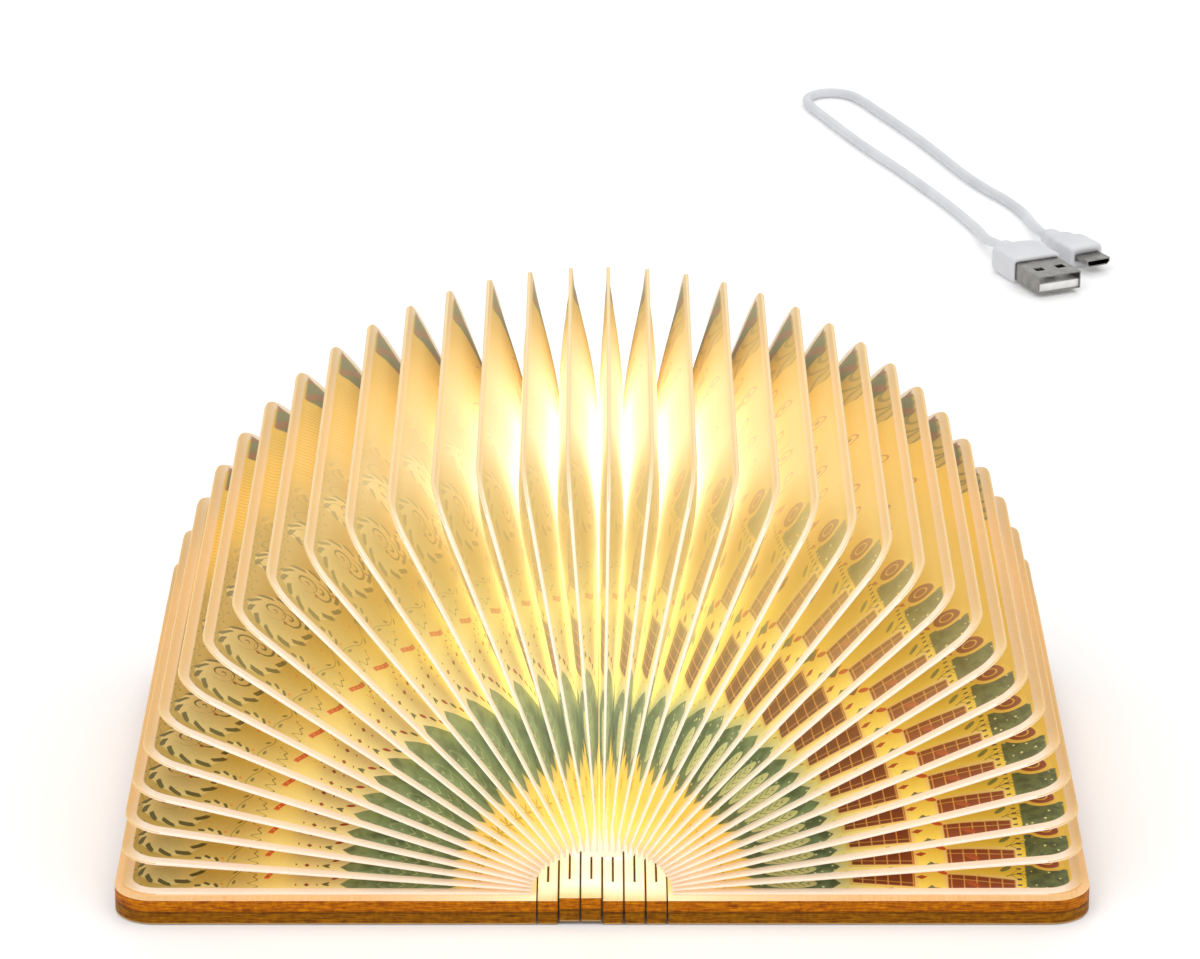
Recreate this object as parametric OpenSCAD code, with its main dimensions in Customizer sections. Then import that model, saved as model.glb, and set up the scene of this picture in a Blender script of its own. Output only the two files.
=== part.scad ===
// A folding book lamp, lying open. Two layered wood covers meet at a spine of narrow slats.
// A fan of envelope leaves stands over the slats and hides the lamp strip below it.
// X runs across the open covers, Y along the spine from foot to head, Z up from the table.
// The origin is on the table, under the middle of the spine.

/* [Covers] */
// Width of one cover, from the spine to its fore edge
cover_w = 80; // [70:0.5:100]
// Height of the covers and the slats along the spine
cover_h = 122; // [105:1:160]
// Thickness of the outer board
outer_board_t = 2.4; // [2.2:0.1:4]
// Thickness of the inner board, bonded on the outer one
inner_board_t = 2.4; // [1:0.1:4]
// Radius of the corners at the fore edge
cover_corner_r = 7.8; // [2:0.2:15]

/* [Spine] */
// Distance from one slat to the next
slat_pitch = 4.1; // [4:0.1:5]
// Width of the cut between two slats in the inner layer
kerf_in = 0.2; // [0.1:0.05:0.4]
// Width of the cut between two slats in the outer layer
kerf_out = 0.32; // [0.1:0.02:0.5]
// How far the second and third slats stand above the others
slat_lift = 0.6; // [0:0.1:1]
// Width of the short slits inside a slat
slit_w = 0.2; // [0.1:0.05:0.4]
// Length of a short slit
slit_l = 17; // [8:0.5:22]
// Distance from the foot of a slat to its first slit
slit_start = 8.4; // [4:0.2:12]

/* [Leaves] */
// Distance from the fore edge of a cover to the fore edge of its end leaf
leaf_back = 1.2; // [0.5:0.1:10]
// Thickness of a leaf with its two sheets pressed flat
leaf_t = 0.35; // [0.2:0.02:0.4]
// Distance from the foot and the head of the covers to the leaves
leaf_inset = 2.5; // [1:0.5:10]
// Radius of the leaves' corners at the fore edge
leaf_corner_r = 7; // [2:0.2:20]
// How far the arch on which the leaves begin reaches over each cover
arch_over = 1; // [0.9:0.1:2]
// Height of that arch above the end leaves
arch_h = 8.8; // [8.4:0.1:12]
// Glue line between an end leaf and its cover
glue_t = 0.06; // [0.02:0.02:0.2]
// Rise of the last leaf of the left half above its cover, in degrees
left_top_deg = 86; // [80:0.5:88]
// Rise of the last leaf of the right half above its cover, in degrees
right_top_deg = 89.2; // [84:0.2:90]

/* [Lamp strip] */
// Distance from the foot of the spine to the tray
tray_start = 18; // [10:1:30]
// Distance from the head of the spine to the tray
tray_end = 1; // [0.5:0.5:10]
// Distance from the tray's foot to each edge of the two slats that carry it
tray_foot_back = 0.3; // [0.1:0.1:0.4]
// Height of the tray's narrow foot
tray_foot_h = 1.2; // [1:0.1:1.2]
// How far the tray overhangs its foot on each side
tray_overhang = 1.9; // [1.7:0.1:2]
// Wall of the tray beside the circuit board
tray_wall = 0.8; // [0.5:0.1:0.8]
// Floor of the tray below the battery
tray_floor_t = 0.8; // [0.6:0.1:0.9]
// Thickness of the diffuser
diffuser_t = 0.55; // [0.4:0.05:0.7]
// Room for the light chips under the diffuser
chip_room = 0.7; // [0.65:0.05:0.8]
// Width of the battery cell
battery_w = 5.8; // [4:0.2:5.8]
// Height of the battery cell
battery_h = 2.7; // [2:0.1:2.7]
// Length of the battery cell
battery_l = 60; // [20:1:70]
// Thickness of the circuit board
board_t = 0.8; // [0.6:0.1:1]
// Number of light chips
chip_count = 8; // [2:1:12]
// Length and width of a light chip
chip_size = 2.8; // [2:0.1:3.5]
// Height of a light chip
chip_h = 0.6; // [0.4:0.05:0.6]

/* [Magnets] */
// Diameter of a magnet disc
magnet_d = 6; // [3:0.5:10]
// Thickness of a magnet disc
magnet_t = 1.6; // [1:0.1:1.6]
// Distance from the fore edge to a disc's centre
magnet_in = 8; // [7:0.5:20]
// Clearance round a disc in its pocket
magnet_gap = 0.05; // [0.02:0.01:0.2]

/* [Charging lead] */
// Diameter of the lead
lead_d = 2.5; // [2.4:0.1:3]
// Width of the large plug's metal shell
plug_a_w = 12; // [11.8:0.1:12.2]
// Height of the large plug's metal shell
plug_a_h = 4.5; // [4.4:0.1:4.6]
// Length of the large shell in front of its grip
plug_a_l = 12; // [11:0.5:13]
// Length of the large plug's grip
grip_a_l = 13.6; // [12:0.2:20]
// Width of the large plug's grip
grip_a_w = 13.6; // [13:0.2:16]
// Height of the large plug's grip
grip_a_h = 6.6; // [5.6:0.2:8]
// Width of the small plug's metal shell
plug_b_w = 6.85; // [6.7:0.05:7]
// Height of the small plug's metal shell
plug_b_h = 1.8; // [1.7:0.05:1.9]
// Length of the small shell in front of its grip
plug_b_l = 5.4; // [4.8:0.2:6]
// Length of the small plug's grip
grip_b_l = 14; // [12:0.2:18]
// Width of the small plug's grip
grip_b_w = 9.8; // [8.4:0.2:11]
// Height of the small plug's grip
grip_b_h = 5.8; // [4.6:0.2:7]
// Length of the strain relief behind either grip
relief_l = 4.2; // [3:0.2:6]
// Sheet thickness of both metal shells
shell_t = 0.3; // [0.2:0.05:0.35]

/* [Hidden] */
$fn = 48;
SLATS = 6;
LEAVES = 36;
LEFT_LEAVES = 17;
cover_t = outer_board_t + inner_board_t;
spine_w = SLATS * slat_pitch;
arch_half_w = spine_w / 2 + arch_over;
arch_z = cover_t + glue_t + leaf_t / 2;
leaf_l = cover_w - arch_over - leaf_back;
leaf_w = cover_h - 2 * leaf_inset;
cut_past = 1;

// The leaves bunch a little beside the covers. Those of the left half also lean over to the middle.
left_bunch_deg = 1.8;
right_bunch_deg = 0.4;
left_sway_deg = 1.2;
right_leaves = LEAVES - LEFT_LEAVES;

// The tray's levels, from its foot on the raised slat up to the diffuser
tray_foot_w = 2 * slat_pitch - 2 * tray_foot_back;
tray_w = tray_foot_w + 2 * tray_overhang;
tray_z = cover_t + slat_lift;
board_z = tray_z + tray_floor_t + battery_h + 0.2;
tray_top_z = board_z + board_t + 0.1;
diffuser_z = tray_top_z + chip_room;
module_top_z = diffuser_z + diffuser_t;
tray_y0 = tray_start;
tray_y1 = cover_h - tray_end;
end_wall = 0.8;
channel_w = battery_w + 0.2;
board_w = tray_w - 2 * tray_wall - 0.1;
board_y0 = tray_y0 + end_wall + 0.1;
board_y1 = tray_y1 - end_wall - 0.1;
battery_y = tray_y0 + end_wall + 4;
chip_y0 = board_y0 + 4;
chip_y1 = board_y1 - 6;

// A small standard receptacle, hung under the head end of the board
socket_w = 7.5;
socket_h = 2.45;
socket_l = 5;
socket_wall = 0.25;
socket_z = board_z - socket_h;
tongue_w = 3.6;
tongue_t = 0.5;
tongue_back = 0.8;

// Other chips on the board, beyond the light chips: a magnetic switch and the charging controller
switch_size = [2.9, 1.6, 0.6];
switch_back = 3;
charger_size = [2, 3, 0.5];
charger_in = 0.4;

// Where the two plugs lie on the table, and which way they point
plug_a_at = [104.5, 320];
plug_a_deg = -65.6;
plug_b_at = [117.2, 330.5];
plug_b_deg = -62;
grip_a_z = grip_a_h / 2;
grip_b_z = grip_b_h / 2;
lead_z = lead_d / 2 + 0.02;
relief_w = 5.2;
relief_h = 4.2;
seat_a = 5;
seat_b = 3;

// The lead's free stretch on the table, from the large plug round to the small one
route_middle = [
    [98.9, 334.5, 2.3], [97.9, 342, 1.6], [95.6, 351, lead_z], [92.3, 361.5, lead_z],
    [88.2, 373, lead_z], [83.7, 385, lead_z], [79.2, 396.5, lead_z], [74.6, 407.5, lead_z],
    [70, 419, lead_z], [65.6, 431, lead_z], [61.4, 443, lead_z], [58.5, 451.5, lead_z],
    [57.5, 457.5, lead_z], [59.6, 462.5, lead_z], [64.5, 464.5, lead_z], [69.4, 462.5, lead_z],
    [72.8, 457, lead_z], [76.6, 447.5, lead_z], [81.2, 436, lead_z], [85.8, 424, lead_z],
    [90, 412, lead_z], [93.9, 400, lead_z], [97.8, 388.5, lead_z], [102.4, 377.5, lead_z],
    [107.4, 367, lead_z], [110.7, 357, lead_z], [112.2, 348, 1.6], [112.9, 342.5, 2.2]
];
function away(deg, reach) = [cos(deg) * reach, sin(deg) * reach];
function lead_from(at, deg, z, reach) = let (p = at - away(deg, relief_l + reach)) [p[0], p[1], z];
lead_route = concat(
    [lead_from(plug_a_at, plug_a_deg, grip_a_z, 0), lead_from(plug_a_at, plug_a_deg, grip_a_z, 3),
     lead_from(plug_a_at, plug_a_deg, grip_a_z - 0.4, 7)],
    route_middle,
    [lead_from(plug_b_at, plug_b_deg, grip_b_z, 3), lead_from(plug_b_at, plug_b_deg, grip_b_z, 0)]);
lead_sides = 8;

function leaf_name(k) = str("leaf_", k < 10 ? "0" : "", k);

// A leaf's angle above the right cover. Leaves count from the left cover to the right one.
function left_rise(n, steps) = n * left_top_deg / steps - left_bunch_deg * sin(180 * n / steps)
    - left_sway_deg * sin(360 * n / steps);
function right_rise(n, steps) = n * right_top_deg / steps - right_bunch_deg * sin(180 * n / steps);
function leaf_deg(k) = k <= LEFT_LEAVES
    ? 180 - left_rise(k - 1, LEFT_LEAVES - 1)
    : right_rise(LEAVES - k, right_leaves - 1);

// Pieces of the lamp itself are laid out from the foot of the spine.
module from_foot() {
    translate([0, -cover_h / 2, 0]) children();
}

module mirrored(on) {
    if (on) mirror([1, 0, 0]) children();
    else children();
}

module cover_outline(gap) {
    x0 = spine_w / 2 + gap / 2;
    x1 = spine_w / 2 + cover_w;
    translate([x0, 0]) square([x1 - cover_corner_r - x0, cover_h]);
    translate([x0, cover_corner_r]) square([x1 - x0, cover_h - 2 * cover_corner_r]);
    for (y = [cover_corner_r, cover_h - cover_corner_r])
        translate([x1 - cover_corner_r, y]) circle(r = cover_corner_r);
}

// Three discs sit in blind pockets along the fore edge, spread evenly over the height.
magnet_x = spine_w / 2 + cover_w - magnet_in;
magnet_z = outer_board_t - magnet_t;
module magnet_places() {
    for (share = [1/4, 2/4, 3/4]) translate([magnet_x, cover_h * share, magnet_z]) children();
}

module outer_board(left) {
    color("#6B4620") from_foot() mirrored(left) difference() {
        linear_extrude(outer_board_t) cover_outline(kerf_out);
        magnet_places() cylinder(d = magnet_d + 2 * magnet_gap, h = magnet_t + cut_past);
    }
}

module inner_board(left) {
    color("#B5690A") from_foot() mirrored(left)
        translate([0, 0, outer_board_t]) linear_extrude(inner_board_t) cover_outline(kerf_in);
}

module magnets(left) {
    color("#B8BCC2") from_foot() mirrored(left) magnet_places() cylinder(d = magnet_d, h = magnet_t);
}

// A slat is cut from both bonded layers. Short slits down its middle let the spine twist and bend.
module spine_slat(i) {
    x = (i - 1 - SLATS / 2) * slat_pitch;
    lift = (i == 2 || i == 3) ? slat_lift : 0;
    slit_zone = cover_h - 2 * slit_start;
    slits = floor((slit_zone + slit_start) / (slit_l + slit_start));
    slit_step = slits > 1 ? (slit_zone - slit_l) / (slits - 1) : 0;
    color("#9A5E18") from_foot() translate([x, 0, lift]) difference() {
        union() {
            translate([kerf_out / 2, 0, 0]) cube([slat_pitch - kerf_out, cover_h, outer_board_t]);
            translate([kerf_in / 2, 0, outer_board_t])
                cube([slat_pitch - kerf_in, cover_h, inner_board_t]);
        }
        for (n = [0:slits - 1])
            translate([(slat_pitch - slit_w) / 2, slit_start + n * slit_step, -cut_past])
                cube([slit_w, slit_l, cover_t + 2 * cut_past]);
    }
}

// A leaf is an envelope of two sheets, glued along its foot, fore edge and head.
module leaf_outline() {
    square([leaf_l - leaf_corner_r, leaf_w]);
    translate([0, leaf_corner_r]) square([leaf_l, leaf_w - 2 * leaf_corner_r]);
    for (y = [leaf_corner_r, leaf_w - leaf_corner_r])
        translate([leaf_l - leaf_corner_r, y]) circle(r = leaf_corner_r);
}

module leaf(k) {
    deg = leaf_deg(k);
    color("#F6E0B8") from_foot()
        translate([arch_half_w * cos(deg), leaf_inset, arch_z + arch_h * sin(deg)])
            rotate([0, -deg, 0]) translate([0, 0, -leaf_t / 2]) linear_extrude(leaf_t) leaf_outline();
}

module centred_bar(w, y0, y1, z0, z1) {
    translate([-w / 2, y0, z0]) cube([w, y1 - y0, z1 - z0]);
}

// The tray stands between the folding slats on a narrow foot, and carries the board on two ledges.
module lamp_tray() {
    color("#ECECEA") from_foot() difference() {
        union() {
            centred_bar(tray_foot_w, tray_y0, tray_y1, tray_z, tray_top_z);
            centred_bar(tray_w, tray_y0, tray_y1, tray_z + tray_foot_h, tray_top_z);
        }
        centred_bar(channel_w, tray_y0 + end_wall, tray_y1 - end_wall,
                    tray_z + tray_floor_t, tray_top_z + cut_past);
        centred_bar(tray_w - 2 * tray_wall, tray_y0 + end_wall, tray_y1 - end_wall,
                    board_z, tray_top_z + cut_past);
        centred_bar(socket_w, tray_y1 - socket_l, tray_y1 + cut_past, socket_z, board_z);
    }
}

module lamp_diffuser() {
    color("#FFFFFF", 0.8) from_foot() difference() {
        centred_bar(tray_w, tray_y0, tray_y1, tray_top_z, module_top_z);
        centred_bar(tray_w - 2 * tray_wall, tray_y0 + end_wall, tray_y1 - end_wall,
                    tray_top_z - cut_past, diffuser_z);
    }
}

module led_board() {
    color("#F2F2EE") from_foot() centred_bar(board_w, board_y0, board_y1, board_z, board_z + board_t);
}

module board_chips() {
    z = board_z + board_t;
    chip_step = (chip_y1 - chip_y0 - chip_size) / (chip_count - 1);
    color("#F4D35E") from_foot() for (n = [0:chip_count - 1])
        translate([-chip_size / 2, chip_y0 + n * chip_step, z]) cube([chip_size, chip_size, chip_h]);
    color("#202022") from_foot() {
        translate([-switch_size[0] / 2, board_y1 - switch_back, z]) cube(switch_size);
        translate([-board_w / 2 + charger_in, board_y0 + charger_in, z]) cube(charger_size);
    }
}

module battery_cell() {
    color("#AEB4BA") from_foot() centred_bar(battery_w, battery_y, battery_y + battery_l,
                                 tray_z + tray_floor_t, tray_z + tray_floor_t + battery_h);
}

module charging_socket() {
    y0 = tray_y1 - socket_l;
    color("#C9CCD0") from_foot() {
        difference() {
            centred_bar(socket_w, y0, tray_y1, socket_z, board_z);
            centred_bar(socket_w - 2 * socket_wall, y0 + socket_wall, tray_y1 + cut_past,
                        socket_z + socket_wall, board_z - socket_wall);
        }
        centred_bar(tongue_w, y0, tray_y1 - tongue_back,
                    board_z - socket_h / 2, board_z - socket_h / 2 + tongue_t);
    }
}

// A block with rounded long edges, along X from x0, centred on the other two axes
module soft_block(x0, l, w, h, r) {
    translate([x0, 0, 0]) rotate([90, 0, 90]) linear_extrude(l) {
        square([w - 2 * r, h], center = true);
        square([w, h - 2 * r], center = true);
        for (x = [-w / 2 + r, w / 2 - r]) for (y = [-h / 2 + r, h / 2 - r])
            translate([x, y]) circle(r = r);
    }
}

module plug_place(at, deg, z) {
    translate([at[0], at[1], z]) rotate([0, 0, deg]) children();
}

module centred_block(x0, l, w, h) {
    translate([x0, -w / 2, -h / 2]) cube([l, w, h]);
}

module usb_a_grip() {
    color("#E8E8EA") plug_place(plug_a_at, plug_a_deg, grip_a_z) difference() {
        union() {
            soft_block(0, grip_a_l, grip_a_w, grip_a_h, 1.4);
            soft_block(-relief_l, relief_l + 1, relief_w, relief_h, 1.4);
        }
        centred_block(grip_a_l - seat_a, seat_a + cut_past, plug_a_w, plug_a_h);
    }
}

module usb_a_shell() {
    window = 2.4;
    color("#A9ABAF") plug_place(plug_a_at, plug_a_deg, grip_a_z) difference() {
        centred_block(grip_a_l - seat_a, seat_a + plug_a_l, plug_a_w, plug_a_h);
        centred_block(grip_a_l - seat_a - cut_past, seat_a + plug_a_l + 2 * cut_past,
                      plug_a_w - 2 * shell_t, plug_a_h - 2 * shell_t);
        for (side = [-1, 1])
            translate([grip_a_l + plug_a_l * 0.45, side * plug_a_w / 4 - window / 2, 0])
                cube([window, window, plug_a_h]);
    }
}

module usb_a_tongue() {
    color("#F4F4F2") plug_place(plug_a_at, plug_a_deg, grip_a_z)
        translate([grip_a_l - seat_a, -plug_a_w / 2 + shell_t, -plug_a_h / 2 + shell_t])
            cube([seat_a + plug_a_l - 0.6, plug_a_w - 2 * shell_t, plug_a_h / 2 - shell_t]);
}

module micro_usb_grip() {
    color("#E8E8EA") plug_place(plug_b_at, plug_b_deg, grip_b_z) difference() {
        union() {
            soft_block(0, grip_b_l, grip_b_w, grip_b_h, 1.3);
            soft_block(-relief_l, relief_l + 1, relief_w, relief_h, 1.4);
        }
        centred_block(grip_b_l - seat_b, seat_b + cut_past, plug_b_w, plug_b_h);
    }
}

// The small shell is narrower below, so that it enters its socket one way up only.
module micro_usb_outline(w, h) {
    slope = h * 0.45;
    polygon([[-w / 2, h / 2], [w / 2, h / 2], [w / 2, -h / 2 + slope], [w / 2 - slope, -h / 2],
             [-w / 2 + slope, -h / 2], [-w / 2, -h / 2 + slope]]);
}

module micro_usb_shell() {
    color("#A9ABAF") plug_place(plug_b_at, plug_b_deg, grip_b_z) difference() {
        translate([grip_b_l - seat_b, 0, 0]) rotate([90, 0, 90])
            linear_extrude(seat_b + plug_b_l) micro_usb_outline(plug_b_w, plug_b_h);
        translate([grip_b_l, 0, 0]) rotate([90, 0, 90]) linear_extrude(plug_b_l + cut_past)
            micro_usb_outline(plug_b_w - 2 * shell_t, plug_b_h - 2 * shell_t);
    }
}

// Rings of points square to the route are joined into one closed tube.
function unit(v) = v / norm(v);
function heading(path, i) = i == 0 ? unit([for (c = path[1] - path[0]) c])
    : i == len(path) - 1 ? unit([for (c = path[i] - path[i - 1]) c])
    : unit(path[i + 1] - path[i - 1]);
function ring(path, i, r) =
    let (ahead = heading(path, i), side = unit(cross([0, 0, 1], ahead)), up = cross(ahead, side))
    [for (n = [0:lead_sides - 1])
        let (a = 360 * n / lead_sides) path[i] + r * (cos(a) * side + sin(a) * up)];

module usb_lead() {
    rings = len(lead_route);
    points = [for (i = [0:rings - 1]) each ring(lead_route, i, lead_d / 2)];
    sides = [for (i = [0:rings - 2]) for (n = [0:lead_sides - 1])
        let (a = i * lead_sides + n, b = i * lead_sides + (n + 1) % lead_sides) each
        [[a, b + lead_sides, b], [a, a + lead_sides, b + lead_sides]]];
    start = [for (n = [0:lead_sides - 1]) n];
    end = [for (n = [lead_sides - 1:-1:0]) (rings - 1) * lead_sides + n];
    color("#E8E8EA") polyhedron(points, concat([start], sides, [end]), convexity = 4);
}

outer_board(true);  // left_outer_board
inner_board(true);  // left_inner_board
outer_board(false);  // right_outer_board
inner_board(false);  // right_inner_board
for (i = [1:SLATS]) spine_slat(i);
for (k = [1:LEAVES]) leaf(k);
magnets(true);  // left_magnets
magnets(false);  // right_magnets
lamp_tray();
lamp_diffuser();
led_board();
board_chips();
battery_cell();
charging_socket();
usb_lead();
usb_a_grip();
usb_a_shell();
usb_a_tongue();
micro_usb_grip();
micro_usb_shell();
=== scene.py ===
from math import cos, pi, radians, sin

import bmesh
import bpy
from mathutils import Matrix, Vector


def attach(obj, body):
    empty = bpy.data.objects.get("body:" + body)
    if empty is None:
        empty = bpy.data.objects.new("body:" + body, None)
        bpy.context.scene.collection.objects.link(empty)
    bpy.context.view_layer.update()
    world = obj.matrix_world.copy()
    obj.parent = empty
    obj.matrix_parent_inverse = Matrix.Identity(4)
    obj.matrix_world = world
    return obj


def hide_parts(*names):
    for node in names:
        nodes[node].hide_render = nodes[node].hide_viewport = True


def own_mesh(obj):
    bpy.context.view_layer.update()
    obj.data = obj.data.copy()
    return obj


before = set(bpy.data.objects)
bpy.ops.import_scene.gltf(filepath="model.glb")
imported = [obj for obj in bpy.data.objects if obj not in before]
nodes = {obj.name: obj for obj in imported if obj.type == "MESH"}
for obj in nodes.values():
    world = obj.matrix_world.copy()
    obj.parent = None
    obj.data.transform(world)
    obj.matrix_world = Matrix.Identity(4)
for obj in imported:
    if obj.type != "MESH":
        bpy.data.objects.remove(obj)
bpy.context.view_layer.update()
MM = 0.001


# The camera stands behind the foot of the spine and looks along it, a little downwards.
# Its field is narrow, as the photograph was taken from about a metre away.
CAMERA_AT, DOWN_DEG, LENS = (-0.0004, -0.9561, 0.4396), 21.34, 158.28

camera = bpy.data.objects.new("camera", bpy.data.cameras.new("camera"))
camera.data.sensor_width = 36
camera.data.lens = LENS
camera.data.clip_start = 0.05
camera.data.clip_end = 30
camera.location = CAMERA_AT
camera.rotation_euler = (radians(90 - DOWN_DEG), 0, 0)
bpy.context.scene.collection.objects.link(camera)
bpy.context.scene.camera = camera


# The charging lead is a round white PVC cord with a large plug on one end and a small one on the
# other. It lies on the table behind the lamp in one long narrow bend, both plugs side by side.
LEAD_D, LEAD_L = 2.5 * MM, 0.295
RELIEF_L = 4.2
PLUG_A_AT, PLUG_A_DEG, PLUG_A_Z = (104.5, 320), -65.6, 3.3
PLUG_B_AT, PLUG_B_DEG, PLUG_B_Z = (117.2, 330.5), -62, 2.9
TABLE_Z = 1.27


def behind_plug(at, deg, z, reach):
    """A point on the plug's own line, reach mm behind its strain relief."""
    back = RELIEF_L + reach
    return at[0] - cos(radians(deg)) * back, at[1] - sin(radians(deg)) * back, z


lead_route = [
    behind_plug(PLUG_A_AT, PLUG_A_DEG, PLUG_A_Z, 0), behind_plug(PLUG_A_AT, PLUG_A_DEG, PLUG_A_Z, 3),
    behind_plug(PLUG_A_AT, PLUG_A_DEG, 2.9, 7), (98.9, 334.5, 2.3), (97.9, 342, 1.6),
    (95.6, 351, TABLE_Z), (92.3, 361.5, TABLE_Z), (88.2, 373, TABLE_Z), (83.7, 385, TABLE_Z),
    (79.2, 396.5, TABLE_Z), (74.6, 407.5, TABLE_Z), (70, 419, TABLE_Z), (65.6, 431, TABLE_Z),
    (61.4, 443, TABLE_Z), (58.5, 451.5, TABLE_Z), (57.5, 457.5, TABLE_Z), (59.6, 462.5, TABLE_Z),
    (64.5, 464.5, TABLE_Z), (69.4, 462.5, TABLE_Z), (72.8, 457, TABLE_Z), (76.6, 447.5, TABLE_Z),
    (81.2, 436, TABLE_Z), (85.8, 424, TABLE_Z), (90, 412, TABLE_Z), (93.9, 400, TABLE_Z),
    (97.8, 388.5, TABLE_Z), (102.4, 377.5, TABLE_Z), (107.4, 367, TABLE_Z), (110.7, 357, TABLE_Z),
    (112.2, 348, 1.6), (112.9, 342.5, 2.2),
    behind_plug(PLUG_B_AT, PLUG_B_DEG, PLUG_B_Z, 3), behind_plug(PLUG_B_AT, PLUG_B_DEG, PLUG_B_Z, 0)]


def new_material(name):
    """An empty node material and its Principled shader."""
    material = bpy.data.materials.new(name)
    material.use_nodes = True
    return material, material.node_tree, material.node_tree.nodes["Principled BSDF"]


def object_place(tree):
    """The place on the piece, in metres in the frame that all pieces share."""
    return tree.nodes.new("ShaderNodeTexCoord").outputs["Object"]


def add_node(tree, kind, settings=None, **inputs):
    """A node with its settings, and inputs given by name with _ for a space."""
    node = tree.nodes.new(kind)
    for key, value in (settings or {}).items():
        setattr(node, key, value)
    for key, value in inputs.items():
        socket = node.inputs[key.replace("_", " ")]
        if isinstance(value, bpy.types.NodeSocket):
            tree.links.new(value, socket)
        else:
            socket.default_value = value
    return node


def linear(colour):
    """The linear colour of a hexadecimal screen colour. Three numbers are linear already."""
    if not isinstance(colour, str):
        return colour
    parts = [int(colour[n:n + 2], 16) / 255 for n in (0, 2, 4)]
    return tuple(p / 12.92 if p <= 0.04045 else ((p + 0.055) / 1.055) ** 2.4 for p in parts)


def ramp(tree, factor, stops):
    """A colour ramp through (place, colour) stops."""
    node = add_node(tree, "ShaderNodeValToRGB", Fac=factor)
    for n, (place, colour) in enumerate(stops):
        stop = node.color_ramp.elements[n] if n < 2 else node.color_ramp.elements.new(place)
        stop.position = place
        stop.color = (*linear(colour), 1)
    return node.outputs["Color"]


def set_bump(tree, shader, height, strength, depth):
    """Gives the shader a bump from a height socket."""
    bump = add_node(tree, "ShaderNodeBump", Height=height, Strength=strength, Distance=depth)
    tree.links.new(bump.outputs["Normal"], shader.inputs["Normal"])


white_pvc, tree, shader = new_material("white_pvc")
place = object_place(tree)
cloud = add_node(tree, "ShaderNodeTexNoise", Vector=place, Scale=90, Detail=4).outputs["Fac"]
grain = add_node(tree, "ShaderNodeTexNoise", Vector=place, Scale=2600, Detail=2).outputs["Fac"]
tree.links.new(ramp(tree, cloud, [(0.3, "CFD0D4"), (0.7, "DADBDE")]),
               shader.inputs["Base Color"])
shader.inputs["Roughness"].default_value = 0.42
shader.inputs["Subsurface Weight"].default_value = 0.08
shader.inputs["Subsurface Radius"].default_value = (0.002, 0.002, 0.002)
set_bump(tree, shader, grain, 0.12, 0.0001)

lead_line = bpy.data.curves.new("charging_lead", "CURVE")
lead_line.dimensions = "3D"
lead_line.resolution_u = 6
lead_line.bevel_depth = LEAD_D / 2
lead_line.bevel_resolution = 5
lead_line.use_fill_caps = True
spline = lead_line.splines.new("BEZIER")
spline.bezier_points.add(len(lead_route) - 1)
for knot, point in zip(spline.bezier_points, lead_route):
    knot.co = Vector(point) * MM
    knot.handle_left_type = knot.handle_right_type = "AUTO"
lead_line.materials.append(white_pvc)
charging_lead = bpy.data.objects.new("charging_lead", lead_line)
bpy.context.scene.collection.objects.link(charging_lead)
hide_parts("usb_lead")
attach(charging_lead, "spine")


# Each plug has a soft white grip moulded over the cord and over the root of a folded metal shell.
# The grips are lofted from rounded sections, with a ringed strain relief behind and a pocket before.
def loft(name, sections, at, deg, z):
    """A closed skin over rounded sections (x, width, height, squareness) along a plug's line."""
    sides = 40
    mesh = bmesh.new()
    rings = []
    turn = radians(deg)
    for x, wide, high, square in sections:
        ring = []
        for n in range(sides):
            a = 2 * pi * n / sides
            p, q = cos(a), sin(a)
            y = wide / 2 * abs(p) ** (2 / square) * (1 if p >= 0 else -1)
            up = high / 2 * abs(q) ** (2 / square) * (1 if q >= 0 else -1)
            ring.append(mesh.verts.new(((at[0] + cos(turn) * x - sin(turn) * y) * MM,
                                        (at[1] + sin(turn) * x + cos(turn) * y) * MM,
                                        (z + up) * MM)))
        rings.append(ring)
    for a, b in zip(rings, rings[1:]):
        for n in range(sides):
            m = (n + 1) % sides
            mesh.faces.new((a[n], a[m], b[m], b[n]))
    mesh.faces.new(rings[0][::-1])
    mesh.faces.new(rings[-1])
    bmesh.ops.recalc_face_normals(mesh, faces=mesh.faces)
    for face in mesh.faces:
        face.smooth = len(face.verts) == 4
    data = bpy.data.meshes.new(name)
    mesh.to_mesh(data)
    mesh.free()
    piece = bpy.data.objects.new(name, data)
    bpy.context.scene.collection.objects.link(piece)
    return piece


large_grip = loft("large_plug_grip", [
    (-4.2, 2.7, 2.7, 2), (-4.2, 4.2, 3.7, 2.2), (-3.9, 5.0, 4.1, 2.4), (-2.7, 5.2, 4.2, 2.6),
    (-1.9, 5.2, 4.2, 2.6), (-1.7, 4.5, 3.7, 2.4), (-1.1, 4.5, 3.7, 2.4), (-0.9, 5.2, 4.2, 2.6),
    (-0.1, 5.2, 4.2, 2.6), (0.05, 6.4, 4.6, 2.8), (0.25, 8.6, 5.4, 3.2), (0.8, 11.2, 6.2, 4),
    (1.7, 12.8, 6.5, 5.5), (2.8, 13.5, 6.6, 7), (5, 13.6, 6.6, 8), (12.9, 13.6, 6.6, 9),
    (13.3, 13.4, 6.45, 9), (13.55, 13.0, 6.0, 9), (13.6, 12.7, 5.6, 10), (13.6, 12.1, 4.62, 20),
    (8.6, 12.1, 4.62, 20)], PLUG_A_AT, PLUG_A_DEG, PLUG_A_Z)
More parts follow.
